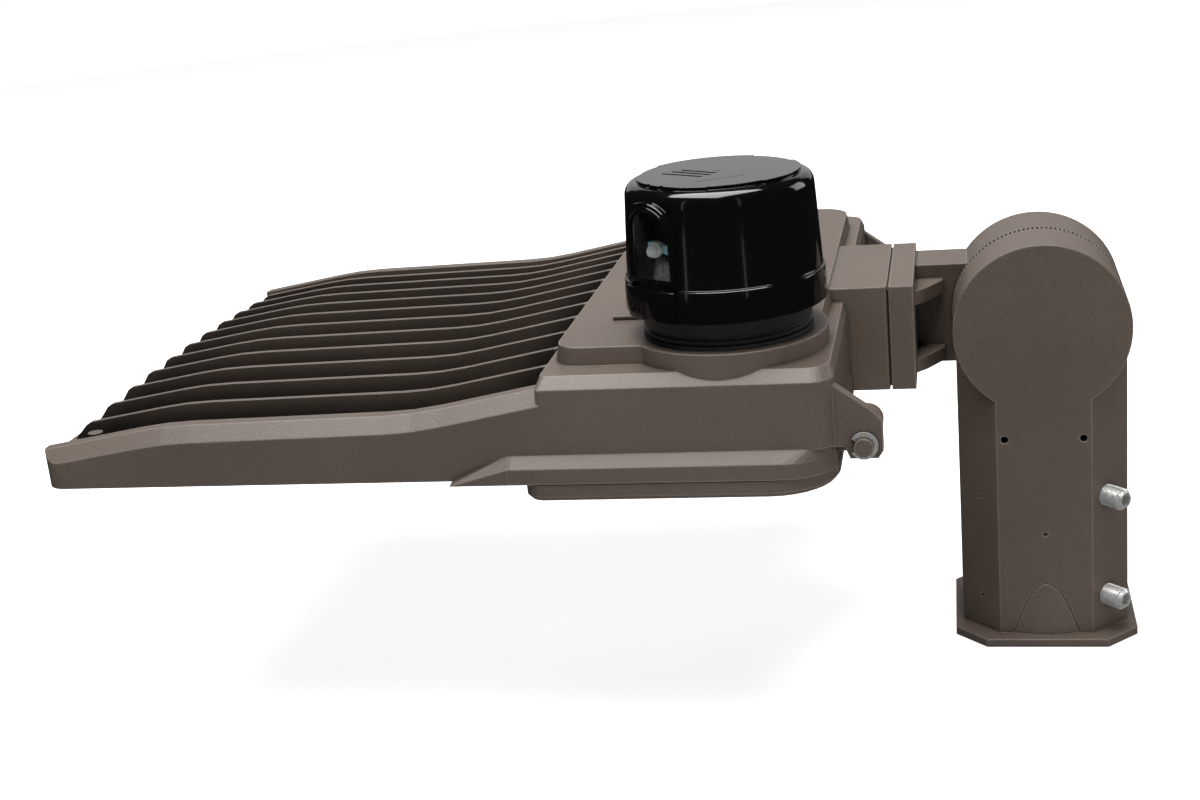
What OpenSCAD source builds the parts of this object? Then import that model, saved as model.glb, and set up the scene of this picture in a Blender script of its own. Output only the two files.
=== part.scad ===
// Shoebox area light on an adjustable slip fitter, with a twist-lock photocell.
// The origin is the mouth of the tenon socket. +Z is up, the light head lies towards -X,
// and the modules inside at_pivot() are drawn from the centre of the knuckle.

/* [Light head] */
// Half of the width over the side rails
half_w = 142; // [136:1:150]
// Left end of the head, from the knuckle axis
head_x0 = -421; // [-440:1:-415]
// Number of cooling fins between the rails
fin_count = 11; // [7:2:13]
// Distance from fin to fin
fin_pitch = 21.8; // [18:0.1:21.8]
// Thickness of a fin
fin_t = 2.6; // [2:0.1:4]
// How much lower the outermost fins are than the middle one
crown = 3.6; // [0:0.1:6]
// Underside of the rails
rail_bottom = -24; // [-30:1:-22]
// Top of the plate that the fins stand on
floor_top = -12; // [-14:0.5:-8]

/* [Driver box] */
// Left end of the driver box
box_x0 = -201; // [-210:1:-195]
// Right end of the driver box
box_x1 = -83; // [-90:1:-80]
// Top of the driver box
box_top = 18; // [16:0.5:22]
// Top of the raised plateau
plateau_top = 25.5; // [22:0.5:30]
// Wall thickness of the castings
wall = 4; // [3:0.5:5]

/* [Photocell] */
// Photocell axis along the head
cell_x = -127; // [-135:1:-120]
// Photocell axis across the head
cell_y = -100; // [-104:1:-90]
// Radius of the photocell's skirt
skirt_r = 41; // [38:0.5:44]

/* [Knuckle and slip fitter] */
// Height of the knuckle axis over the socket mouth
pivot_h = 147; // [140:1:160]
// Radius of the knuckle discs
disc_r = 38; // [34:0.5:42]
// Thickness of one knuckle disc
disc_t = 34; // [30:0.5:36]
// Number of grooves in each serrated face
tooth_count = 120; // [36:12:120]
// Radius of the tenon socket, for a pole tenon of 60.3 mm
socket_r = 30.75; // [30.5:0.05:31]
// Depth of the tenon socket
socket_depth = 94; // [80:1:100]
// Radius of the set screws
set_screw_r = 5; // [3:0.5:6]

/* [Door] */
// Height of the hinge axis from the knuckle axis
hinge_z = -14.5; // [-15:0.5:-14]
// Hinge axis along the head
hinge_x = -72.5; // [-74:0.5:-70]
// Radius of the hinge pins
hinge_pin_r = 3.8; // [3:0.1:4]

/* [Hidden] */
$fn = 64;

bronze = [0.31, 0.28, 0.25];
black = [0.06, 0.06, 0.06];
rubber = [0.1, 0.1, 0.1];
zinc = [0.8, 0.8, 0.8];
fit = 0.05;
gap = 0.3;
eps = 0.01;

function lerp(a, b, t) = a + (b - a) * t;
// A bend at b between a and c, rounded over a length d on each side
function soft_bend(a, b, c, d) =
  let (p = b + (a - b) * d / norm(a - b), q = b + (c - b) * d / norm(c - b))
  [for (t = [0, 0.5, 1]) lerp(lerp(p, b, t), lerp(b, q, t), t)];
// The line of a fin's top edge, lower towards the sides
tip = [-411, -1];
bend_1 = [-364, 6.5];
bend_2 = [-254.5, 8.5];
run_out = [-199, 18.5];
function drop(y) = crown * pow(y / (5 * fin_pitch), 2);
function top_line(y) = [for (p = concat([tip], soft_bend(tip, bend_1, bend_2, 12),
  soft_bend(bend_1, bend_2, run_out, 12), [run_out])) [p[0], p[1] - drop(y)]];

module at_pivot() { translate([0, 0, pivot_h]) children(); }
// An outline in X and Z, as thick as from y0 to y1
module side_plate(pts, y0, y1) {
  translate([0, y1, 0]) rotate([90, 0, 0]) linear_extrude(y1 - y0) polygon(pts);
}
// A cylinder along Y from y0 to y1
module y_rod(x, z, r, y0, y1) {
  translate([x, y1, z]) rotate([90, 0, 0]) cylinder(r = r, h = y1 - y0);
}
// A plan outline with corner radii left and right
module plan(x0, x1, w, rl, rr) {
  translate([x0 + rl, -w]) square([x1 - x0 - rl - rr, 2 * w]);
  translate([x0, rl - w]) square([rl + eps, 2 * (w - rl)]);
  translate([x1 - rr - eps, rr - w]) square([rr + eps, 2 * (w - rr)]);
  for (s = [-1, 1]) {
    translate([x0 + rl, s * (w - rl)]) circle(r = rl);
    translate([x1 - rr, s * (w - rr)]) circle(r = rr);
  }
}
module slab(x0, x1, w, z0, z1, rl, rr) {
  translate([0, 0, z0]) linear_extrude(z1 - z0) plan(x0, x1, w, rl, rr);
}
module octagon(w, d, c) {
  polygon([[-w + c, -d], [w - c, -d], [w, -d + c], [w, d - c],
    [w - c, d], [-w + c, d], [-w, d - c], [-w, -d + c]]);
}

// The ring of radial grooves in a knuckle disc's face at y = 0
module grooves(side) {
  depth = 1.3;
  half = 0.58 * PI * disc_r / tooth_count;
  for (i = [0 : tooth_count - 1])
    rotate([0, i * 360 / tooth_count, 0]) translate([disc_r - 9, side * (gap / 2 - eps), 0])
      rotate([90, 0, 90]) linear_extrude(12) polygon([[0, -half], [side * depth, 0], [0, half]]);
}

// Slip fitter: octagonal tube with a flange, the near knuckle disc on top
body_w = 37;
body_c = 16.5;
flange_w = 40.5;
flange_t = 3.7;
screw_z = [pivot_h - 79, pivot_h - 127];
module slip_fitter_body() {
  color(bronze) difference() {
    union() {
      linear_extrude(pivot_h - 39) octagon(body_w, disc_t, body_c);
      linear_extrude(flange_t) octagon(flange_w, flange_w + 0.7, 13.8);
      intersection() {
        translate([0, 0, 60]) linear_extrude(pivot_h - 60 - 14) octagon(body_w, disc_t, body_c);
        translate([-50, -50, 60]) cube([100, 50 - gap / 2, 100]);
      }
      cylinder(r1 = disc_t + 3.4, r2 = disc_t, h = 28);
      translate([0, 0, pivot_h]) y_rod(0, 0, disc_r, -disc_t, -gap / 2);
    }
    translate([0, 0, -eps]) cylinder(r = socket_r, h = socket_depth + eps);
    translate([0, 0, pivot_h]) {
      difference() {
        y_rod(0, 0, disc_r - 11, -disc_t + 5, 0);
        y_rod(0, 0, 11, -disc_t, 0);
      }
      y_rod(0, 0, 6, -disc_t + 6, 0);
      grooves(-1);
    }
    translate([0, -17, socket_depth - 1]) cylinder(r = 8, h = pivot_h - socket_depth - 20);
    for (s = [-1, 1]) translate([0, 0, pivot_h]) y_rod(s * 17, -49.7, 1.65, -disc_t - 1, -disc_t + 9);
    for (z = screw_z) translate([0, 0, z]) rotate([90, 0, 45]) cylinder(r = set_screw_r, h = 60);
    for (p = [[0, 52], [-27.6, 68], [-27.6, 19.5]]) translate([p[0], p[0] * 0.93, p[1]])
      translate([0, p[0] < 0 ? 0 : -disc_t, 0]) sphere(r = 1.1);
  }
}
module tenon_set_screws() {
  color(zinc) for (z = screw_z) translate([0, 0, z]) rotate([90, 0, 45])
    translate([0, 0, socket_r + 1]) difference() {
      cylinder(r = set_screw_r, h = 17.4);
      translate([0, 0, 12.4]) cylinder(r = 2.9, h = 6, $fn = 6);
    }
}

// Arm: the far knuckle disc, a short beam with two gussets, and the plate
arm_x = -54.2;
plate_x = -64.7;
block_x = -65.5;
plate_z0 = -22.4;
plate_z1 = 24.2;
plate_w = 41;
bolt_places = [[-28, -10], [-28, 12], [28, -10], [28, 12]];
recess = 5;
module knuckle_arm() {
  color(bronze) at_pivot() difference() {
    union() {
      y_rod(0, 0, disc_r, gap / 2, disc_t);
      side_plate([[arm_x - 1, -24], [-25, -24], [-25, 22], [arm_x - 1, 22]], 5, disc_t);
      side_plate([[plate_x, plate_z0], [arm_x, plate_z0], [arm_x, plate_z1], [plate_x, plate_z1]],
        -plate_w, plate_w);
      for (z = [9, -22.4]) translate([0, 0, z]) linear_extrude(6.4)
        polygon([[arm_x - 1, 6], [-42, 6], [-42, 2], [-50, -12], [arm_x - 1, -18]]);
    }
    difference() {
      y_rod(0, 0, disc_r - 11, 0, disc_t - recess - 4);
      y_rod(0, 0, 11, 0, disc_t);
    }
    y_rod(0, 0, 6.2, 0, disc_t + 1);
    y_rod(0, 0, 14, disc_t - recess, disc_t + 1);
    grooves(1);
    translate([plate_x - 1, 11, -12]) cube([50, 14, 22]);
    for (p = bolt_places) translate([plate_x - 1, p[0], p[1]]) rotate([0, 90, 0]) cylinder(r = 4, h = 9.5);
  }
}
module knuckle_bolt() {
  color(zinc) at_pivot() {
    y_rod(0, 0, 6, -disc_t + 7, disc_t - 2.6);
    translate([0, disc_t + 4.5, 0]) rotate([90, 0, 0]) cylinder(r = 10.4, h = 7.1, $fn = 6);
  }
}
module knuckle_washer() {
  color(zinc) at_pivot() difference() {
    y_rod(0, 0, 12, disc_t - recess + gap / 2, disc_t - 2.6);
    y_rod(0, 0, 6.2, disc_t - 6, disc_t);
  }
}
module arm_gasket() {
  color(rubber) at_pivot() difference() {
    side_plate([[block_x, plate_z0 + 1.5], [plate_x, plate_z0 + 1.5], [plate_x, plate_z1 - 1.5],
      [block_x, plate_z1 - 1.5]], -plate_w + 1.5, plate_w - 1.5);
    translate([block_x - 1, 11, -12]) cube([4, 14, 22]);
    for (p = bolt_places) translate([block_x - 1, p[0], p[1]]) rotate([0, 90, 0]) cylinder(r = 4.3, h = 4);
  }
}
module arm_screws() {
  color(zinc) at_pivot() for (p = bolt_places) translate([-77.5, p[0], p[1]]) rotate([0, 90, 0])
    difference() {
      union() {
        cylinder(r = 6.5, h = 8);
        translate([0, 0, 8 - eps]) cylinder(r = 4, h = 13);
      }
      translate([0, 0, -1]) cylinder(r = 3.4, h = 5, $fn = 6);
    }
}

// Head: one casting with rails, fins, driver box, plateau, arm block and hinge lugs
rail_in = half_w - 12;
rail_chamfer = 6;
module rail(s) {
  line = top_line(rail_in + 3);
  section = [[rail_in, 0, 1], [half_w - rail_chamfer, 0, 1], [half_w, -rail_chamfer, 1],
    [half_w, rail_bottom, 0], [rail_in, rail_bottom, 0]];
  stations = concat([[head_x0, line[0][1] - 1.6]], line);
  n = len(section);
  m = len(stations);
  pts = [for (p = stations) for (q = section) [p[0], q[0], q[1] + q[2] * p[1]]];
  sides = [for (i = [0 : m - 2]) for (j = [0 : n - 1])
    [i * n + j, i * n + (j + 1) % n, (i + 1) * n + (j + 1) % n, (i + 1) * n + j]];
  mirror([0, s < 0 ? 1 : 0, 0]) polyhedron(pts, concat(sides,
    [[for (j = [n - 1 : -1 : 0]) j], [for (j = [0 : n - 1]) (m - 1) * n + j]]));
}
module fin(y) {
  line = top_line(y);
  foot = [[head_x0 + 1.5, floor_top - 2], [head_x0 + 1.5, floor_top - 0.5],
    [tip[0] - 2, line[0][1] - 1.2]];
  side_plate(concat(foot, line, [[run_out[0], floor_top - 2]]), y - fin_t / 2, y + fin_t / 2);
}
lug_y = 136;
lug_t = 5;
ear_y = lug_y - lug_t - gap;
ear_t = 28;
module hinge_lug(s) {
  pts = [[-100, 14], [-89, 14.5], [-69.7, 0.2], [-65, -4.8], [-65, -17], [-67, -20],
    [-78, -20], [-80, -15], [-100, -15]];
  side_plate(pts, s > 0 ? lug_y - lug_t : -lug_y, s > 0 ? lug_y : lug_t - lug_y);
}
ledge_w = half_w + 4.5;
ledge_z = rail_bottom - 0.6;
module ledge() {
  hull() {
    translate([0, 0, -13.5]) linear_extrude(0.2) plan(-214, box_x1, half_w - 0.5, 1, 12, $fn = 32);
    translate([0, 0, -18.2]) linear_extrude(0.2) plan(-214, box_x1 + 0.8, ledge_w, 1, 22, $fn = 32);
  }
  slab(-214, box_x1 + 0.8, ledge_w, ledge_z, -18, 1, 22);
  for (s = [-1, 1]) hull() for (p = [[-214, -13.3], [-239, -24]])
    translate([p[0], 0, 0]) rotate([90, 0, 90]) linear_extrude(0.2)
      polygon([[s * (half_w - 10), p[1]], [s * (half_w - 0.5), p[1]],
        [s * ledge_w, max(p[1] - 4.7, rail_bottom - 0.5)], [s * ledge_w, ledge_z],
        [s * (half_w - 10), ledge_z]]);
}
corner_r = 10;
module driver_box() {
  slab(box_x0, box_x1, half_w, -14, box_top - 4.5, 2, corner_r);
  hull() {
    translate([0, 0, box_top - 4.6]) linear_extrude(0.1) plan(box_x0, box_x1, half_w, 2, corner_r, $fn = 32);
    translate([0, 0, box_top - 0.1]) linear_extrude(0.1)
      plan(box_x0 + 1.5, box_x1 - 1.5, half_w - 5, 3, corner_r - 1, $fn = 32);
  }
  hull() {
    translate([0, 0, box_top - 0.2]) linear_extrude(0.1) plan(-197, -89, 125, 12, 16, $fn = 32);
    translate([0, 0, plateau_top - 0.1]) linear_extrude(0.1) plan(-195.5, -90.5, 123.5, 11, 15, $fn = 32);
  }
  translate([cell_x, cell_y, 10]) cylinder(r = 40.5, h = plateau_top - 10);
  slab(box_x1 - 8, block_x, plate_w, plate_z0, plate_z1, 1, 1);
}
module box_cavity() {
  slab(box_x0 + wall, box_x1 - 13, half_w - wall - 1, rail_bottom - 2, -16, 6, 26);
  slab(box_x0 + wall, box_x1 - wall - 3, half_w - wall - 1, -17, box_top - wall, 6, 30);
  translate([cell_x, cell_y, box_top - wall - 1]) cylinder(r = 23, h = plateau_top - box_top + 1);
  slab(-190, -96, 116, box_top - wall - 1, plateau_top - wall, 8, 12);
  slab(box_x1 - 9, block_x - wall, plate_w - wall, plate_z0 + wall, plate_z1 - wall, 1, 1);
}
lens_screw_places = [for (x = [-411, -311, -211]) for (s = [-1, 1]) [x, s * (x == -311 ? 126 : 125)]];
driver_screw_places = [for (s = [-1, 1]) [-140, 24 + s * 78]];
module head_housing() {
  color(bronze) at_pivot() difference() {
    union() {
      intersection() {
        union() {
          rail(1);
          rail(-1);
          slab(head_x0, box_x0 + 1, half_w - 2, rail_bottom, floor_top, 9, 1);
          for (i = [0 : fin_count - 1]) fin((i - (fin_count - 1) / 2) * fin_pitch);
          for (x = [-404, -215]) for (s = [-1, 1])
            translate([x, s * 120, floor_top - 1]) cylinder(r = 3.2, h = 7);
        }
        slab(head_x0, box_x0 + 3, half_w, rail_bottom - 1, 40, 10, 1);
      }
      driver_box();
      ledge();
      hinge_lug(1);
      hinge_lug(-1);
    }
    slab(head_x0 + 6, box_x0 - 6, 129, rail_bottom - 1, rail_bottom + 7, 6, 4);
    box_cavity();
    for (s = [-1, 1]) {
      y_rod(hinge_x, hinge_z, hinge_pin_r + fit, s * lug_y - 8, s * lug_y + 8);
      translate([box_x1 - 5.5, s * (ear_y - ear_t / 2) - ear_t / 2 - gap, -40])
        cube([20, ear_t + 2 * gap, 33]);
    }
    for (p = bolt_places) translate([block_x - 8, p[0], p[1]]) rotate([0, 90, 0]) cylinder(r = 4.3, h = 9);
    translate([block_x - 8, 11, -12]) cube([9, 14, 22]);
    translate([cell_x, cell_y, 0]) cylinder(r = 16, h = 40);
    for (p = lens_screw_places) translate([p[0], p[1], rail_bottom - 1]) cylinder(r = 1.6, h = 11);
    for (p = door_screw_places) translate([p[0], p[1], rail_bottom - 2]) cylinder(r = 3.4, h = 13);
    for (p = driver_screw_places) translate([p[0], p[1], 20]) cylinder(r = 2.2, h = 4.3);
  }
}

// Driver door: a shallow pan with a rim, hinged on two ears
door_x0 = -208.5;
door_top = rail_bottom - 1.1;
door_bottom = -32;
door_screw_places = [for (s = [-1, 1]) [-203.4, s * 126]];
module door() {
  color(bronze) at_pivot() difference() {
    union() {
      slab(door_x0, box_x1, ledge_w - 0.5, door_bottom + 2, door_top, 8, 26);
      hull() {
        translate([0, 0, door_bottom + 1.9]) linear_extrude(0.2)
          plan(door_x0, box_x1, ledge_w - 0.5, 8, 26, $fn = 32);
        translate([0, 0, door_bottom]) linear_extrude(0.1)
          plan(door_x0 + 1.5, box_x1 - 1.5, ledge_w - 2, 7, 25, $fn = 32);
      }
      for (s = [-1, 1]) {
        y0 = s > 0 ? ear_y - ear_t : -ear_y;
        y_rod(hinge_x, hinge_z, 6.5, y0, y0 + ear_t);
        side_plate([[hinge_x, hinge_z - 4], [hinge_x, hinge_z + 4], [-86, hinge_z + 4],
          [-86, door_top - 2], [-83.4, door_top - 2], [-83.4, hinge_z - 4]], y0, y0 + ear_t);
      }
    }
    slab(box_x0 + wall + 3, box_x1 - 16, half_w - 16, door_bottom + wall, door_top + 1, 8, 20);
    door_gasket_ring();
    for (s = [-1, 1]) y_rod(hinge_x, hinge_z, hinge_pin_r, s * ear_y - ear_t - 2, s * ear_y + ear_t + 2);
    for (p = door_screw_places) translate([p[0], p[1], door_bottom - 1]) {
      cylinder(r = 2.1, h = 12);
      cylinder(r = 3.4, h = 3.6);
    }
  }
}
module door_gasket_ring() {
  difference() {
    slab(box_x0 + 1.2, box_x1 - 9, half_w - 2.5, door_top - 1.2, ledge_z - gap, 6, 20);
    slab(box_x0 + wall, box_x1 - 12.5, half_w - 6, door_top - 3, ledge_z, 4, 18);
  }
}
module door_gasket() { color(rubber) at_pivot() door_gasket_ring(); }
module door_screws() {
  color(zinc) at_pivot() for (p = door_screw_places) translate([p[0], p[1], door_bottom + 0.4])
    difference() {
      union() {
        cylinder(r = 3.2, h = 2.2);
        cylinder(r = 2, h = 14);
      }
      translate([0, 0, -1]) cylinder(r = 1.5, h = 2.6, $fn = 6);
    }
}
module hinge_pins() {
  color(bronze) at_pivot() for (s = [-1, 1]) difference() {
    y_rod(hinge_x, hinge_z, hinge_pin_r, s > 0 ? ear_y - ear_t : -lug_y - 4, s > 0 ? lug_y + 4 : ear_t - ear_y);
    difference() {
      y_rod(hinge_x, hinge_z, 6, s > 0 ? lug_y + 0.3 : -lug_y - 1.4, s > 0 ? lug_y + 1.4 : -lug_y - 0.3);
      y_rod(hinge_x, hinge_z, hinge_pin_r - 0.8, -lug_y - 3, lug_y + 3);
    }
  }
}
module hinge_clips() {
  color(zinc) at_pivot() for (s = [-1, 1]) difference() {
    y_rod(hinge_x, hinge_z, 5.7, s > 0 ? lug_y + 0.3 : -lug_y - 1.3, s > 0 ? lug_y + 1.3 : -lug_y - 0.3);
    y_rod(hinge_x, hinge_z, hinge_pin_r - 0.8, -lug_y - 3, lug_y + 3);
    translate([hinge_x - 8, -lug_y - 3, hinge_z - 2.6]) cube([8, 2 * lug_y + 6, 5.2]);
  }
}

// Optics under the fins: two boards, chips, clear lens plates, frame and screws
board_z = rail_bottom + 7;
array_x = [-360.5, -261.5];
led_rows = 5;
led_cols = 10;
led_step = [17, 22];
module led_grid(x) {
  for (i = [0 : led_rows - 1]) for (j = [0 : led_cols - 1])
    translate([x + (i - (led_rows - 1) / 2) * led_step[0], (j - (led_cols - 1) / 2) * led_step[1], 0])
      children();
}
module led_boards() {
  color([0.9, 0.9, 0.88]) at_pivot() for (x = array_x)
    translate([x - 46, -118, board_z - 1.6]) cube([92, 236, 1.6]);
}
module leds() {
  color([0.95, 0.85, 0.4]) at_pivot() for (x = array_x) led_grid(x)
    translate([-1.7, -1.7, board_z - 2.4]) cube([3.4, 3.4, 0.8]);
}
module lens_plates() {
  color([0.85, 0.9, 0.95, 0.5]) at_pivot() for (x = array_x) difference() {
    union() {
      translate([x - 49, -123, board_z - 4.6]) cube([98, 246, 1.8]);
      led_grid(x) translate([0, 0, board_z - 4.6]) intersection() {
        sphere(r = 6);
        translate([-7, -7, -2.2]) cube([14, 14, 3]);
      }
    }
    led_grid(x) translate([0, 0, board_z - 3.6]) cylinder(r = 3, h = 2);
  }
}
module lens_gasket() {
  color(rubber) at_pivot() difference() {
    slab(-410.5, -211.5, 123.5, board_z - 2.8, board_z, 4, 4);
    slab(-407, -215, 120, board_z - 3, board_z + 1, 3, 3);
  }
}
module lens_frame() {
  color(bronze) at_pivot() difference() {
    slab(head_x0 + 6.5, box_x0 - 6.5, 128.5, rail_bottom + 0.2, board_z - 4.6, 5, 3.5);
    for (x = array_x) translate([x - 43.5, -115, rail_bottom - 1]) cube([87, 230, 5]);
    for (p = lens_screw_places) translate([p[0], p[1], rail_bottom - 1]) {
      cylinder(r = 1.6, h = 5);
      cylinder(r = 2.3, h = 2.2);
    }
  }
}
module lens_screws() {
  color(zinc) at_pivot() for (p = lens_screw_places) translate([p[0], p[1], rail_bottom]) {
    cylinder(r = 2.3, h = 1.2);
    cylinder(r = 1.6, h = 9);
  }
}

// Inside the driver box
driver_z = -10;
module led_driver() {
  color([0.75, 0.76, 0.78]) at_pivot() difference() {
    translate([-172, -60, driver_z]) cube([64, 168, plateau_top - wall - driver_z]);
    for (p = driver_screw_places) translate([p[0], p[1], driver_z - 1]) cylinder(r = 2.4, h = 60);
  }
}
module driver_screws() {
  color(zinc) at_pivot() for (p = driver_screw_places) translate([p[0], p[1], driver_z - 2.4]) {
    cylinder(r = 4, h = 2.4);
    cylinder(r = 2.2, h = 36.5);
  }
}
module surge_protector() {
  color(black) at_pivot() translate([-190, -125, -16]) cube([50, 36, box_top - wall + 16]);
}
module terminal_block() {
  color([0.9, 0.9, 0.9]) at_pivot() difference() {
    translate([-104, 40, -10]) cube([14, 54, 18]);
    for (i = [0 : 4]) translate([-97, 46 + i * 10.5, 2]) cylinder(r = 2.2, h = 10);
  }
}

// Twist-lock receptacle and photocell
module at_cell() { at_pivot() translate([cell_x, cell_y, plateau_top]) children(); }
blade_angles = [90, 210, 330];
neck_r = 16 - fit;
module receptacle_gasket() {
  color(rubber) at_cell() difference() {
    cylinder(r = 34.5, h = 1.5 - gap);
    translate([0, 0, -1]) cylinder(r = 27, h = 4);
  }
}
module receptacle_body() {
  color(black) at_cell() difference() {
    rotate_extrude() polygon([[0, -wall - 2.6], [neck_r, -wall - 2.6], [neck_r, 1.5],
      [33.6, 1.5], [34.5, 2.2], [34.5, 3.4], [33.4, 3.9], [33.4, 4.5], [34.2, 5], [34.2, 11.5],
      [0, 11.5]]);
    for (a = blade_angles) rotate(a - 4) rotate_extrude(angle = 38) translate([15, 3]) square([2.6, 10]);
  }
}
module receptacle_nut() {
  color(black) at_cell() translate([0, 0, -wall - 2.6]) difference() {
    cylinder(r = 21, h = 2.3);
    translate([0, 0, -1]) cylinder(r = neck_r, h = 5);
  }
}
module receptacle_contacts() {
  color([0.8, 0.65, 0.35]) at_cell() for (a = blade_angles) rotate(a - 4) rotate_extrude(angle = 3.4)
    translate([15, 3]) square([2.6, 8]);
}
module photocell_base() {
  color(black) at_cell() difference() {
    union() {
      translate([0, 0, 11.9]) cylinder(r = skirt_r - 2.4 - fit, h = 3);
      for (a = [30, 150, 270]) rotate(a) translate([24, 0, 12]) cylinder(r = 3, h = 4.5);
    }
    for (a = blade_angles) rotate(a + 4) rotate_extrude(angle = 12) translate([15.5, 11]) square([1.6, 5]);
  }
}
module photocell_blades() {
  color([0.85, 0.7, 0.4]) at_cell() for (a = blade_angles) rotate(a + 4) rotate_extrude(angle = 12)
    translate([15.5, 4.5]) square([1.6, 12]);
}
module photocell_board() {
  color([0.1, 0.4, 0.2]) at_cell() translate([0, 0, 16.5]) cylinder(r = 30, h = 1.6);
}
module light_sensor() {
  color([0.85, 0.85, 0.8]) at_cell() rotate(window_a) {
    translate([28, -5, 18.1]) cube([1.6, 10, 20]);
    translate([29.6, 0, 34]) rotate([0, 90, 0]) cylinder(r = 2.6, h = 4);
  }
}
window_a = 230;
window_r = 11;
window_z = 45;
cap_h = 64.5;
module arch(r, z0, depth) {
  rotate([90, 0, 90]) linear_extrude(depth) {
    translate([-r, z0]) square([2 * r, window_z - z0]);
    translate([0, window_z]) circle(r = r);
  }
}
module photocell_cap() {
  color(black) at_cell() difference() {
    union() {
      rotate_extrude() polygon([[0, 11.9], [skirt_r, 11.9], [skirt_r - 0.6, 25], [39.6, 26],
        [37.6, cap_h - 4], [36.6, cap_h - 1.6], [34.6, cap_h - 0.5], [33.5, cap_h - 0.5],
        [33.5, cap_h], [0, cap_h]]);
      rotate(window_a) translate([20, 0, 0]) arch(window_r + 3, 13, 18.8);
    }
    rotate_extrude() polygon([[0, 11.8], [skirt_r - 2.4, 11.8], [skirt_r - 2.4, 24], [36.8, 27],
      [35, cap_h - 5], [33.8, cap_h - 2.5], [0, cap_h - 2.5]]);
    rotate(window_a) translate([30, 0, 0]) arch(window_r, 28, 14);
  }
}
// The window follows the inside of the cap's wall
function cap_in(z) = 36.8 - 1.8 * (z - 27) / (cap_h - 32);
module photocell_window() {
  z0 = 27.2;
  z1 = 58;
  color([0.3, 0.35, 0.4, 0.5]) at_cell() rotate(window_a - 20) rotate_extrude(angle = 40)
    polygon([[cap_in(z0) - 1.6, z0], [cap_in(z0) - fit, z0], [cap_in(z1) - fit, z1], [cap_in(z1) - 1.6, z1]]);
}

slip_fitter_body();
tenon_set_screws();
knuckle_arm();
knuckle_bolt();
knuckle_washer();
arm_gasket();
arm_screws();
head_housing();
door();
door_gasket();
door_screws();
hinge_pins();
hinge_clips();
led_boards();
leds();
lens_plates();
lens_gasket();
lens_frame();
lens_screws();
led_driver();
driver_screws();
surge_protector();
terminal_block();
receptacle_gasket();
receptacle_body();
receptacle_nut();
receptacle_contacts();
photocell_base();
photocell_blades();
photocell_board();
light_sensor();
photocell_cap();
photocell_window();
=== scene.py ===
import math
import bpy
import bmesh
from mathutils import Matrix, Vector


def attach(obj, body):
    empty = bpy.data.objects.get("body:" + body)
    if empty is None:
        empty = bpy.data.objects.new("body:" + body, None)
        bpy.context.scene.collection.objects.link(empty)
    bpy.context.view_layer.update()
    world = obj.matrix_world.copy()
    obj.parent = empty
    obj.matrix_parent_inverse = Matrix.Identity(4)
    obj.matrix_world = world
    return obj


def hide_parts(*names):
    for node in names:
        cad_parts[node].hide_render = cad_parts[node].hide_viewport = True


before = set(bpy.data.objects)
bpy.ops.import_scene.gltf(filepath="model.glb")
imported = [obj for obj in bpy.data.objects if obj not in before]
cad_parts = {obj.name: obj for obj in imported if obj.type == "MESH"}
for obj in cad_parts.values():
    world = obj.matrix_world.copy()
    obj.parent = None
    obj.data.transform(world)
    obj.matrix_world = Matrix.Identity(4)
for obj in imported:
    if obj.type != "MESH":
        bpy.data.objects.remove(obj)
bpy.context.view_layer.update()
mm = 0.001
# vertices closer than this become one
weld = 0.002 * mm

# camera at the photograph's own place, in front of the near side and above it, turned a little left
photoView = {"place": (-0.03284, -0.79136, 0.36406), "yaw": 12.29, "pitch": 17.38, "roll": -5.39,
             "lens": 53.0, "sensor": 36, "near": 0.01, "far": 60}


def placeCamera(values):
    yaw, pitch, roll = (math.radians(values[k]) for k in ("yaw", "pitch", "roll"))
    ahead = Vector((-math.sin(yaw) * math.cos(pitch), math.cos(yaw) * math.cos(pitch), -math.sin(pitch)))
    side = Vector((math.cos(yaw), math.sin(yaw), 0))
    up = side.cross(ahead)
    turnedSide = side * math.cos(roll) + up * math.sin(roll)
    turnedUp = up * math.cos(roll) - side * math.sin(roll)
    lensData = bpy.data.cameras.new("photoCamera")
    lensData.lens = values["lens"]
    lensData.sensor_width = values["sensor"]
    lensData.clip_start = values["near"]
    lensData.clip_end = values["far"]
    camera = bpy.data.objects.new("photoCamera", lensData)
    turn = Matrix((turnedSide, turnedUp, -ahead)).transposed().to_4x4()
    camera.matrix_world = Matrix.Translation(values["place"]) @ turn
    bpy.context.collection.objects.link(camera)
    bpy.context.scene.camera = camera


placeCamera(photoView)
bpy.context.scene.view_settings.view_transform = "Standard"
print("camera placed")


def meshObject(name, bm, smoothAngle=30):
    mesh = bpy.data.meshes.new(name)
    bm.to_mesh(mesh)
    bm.free()
    piece = bpy.data.objects.new(name, mesh)
    bpy.context.collection.objects.link(piece)
    mesh.shade_smooth()
    mesh.set_sharp_from_angle(angle=math.radians(smoothAngle))
    return piece


def blankMaterial(name):
    material = bpy.data.materials.new(name)
    material.use_nodes = True
    return material, material.node_tree, material.node_tree.nodes["Principled BSDF"]


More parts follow.
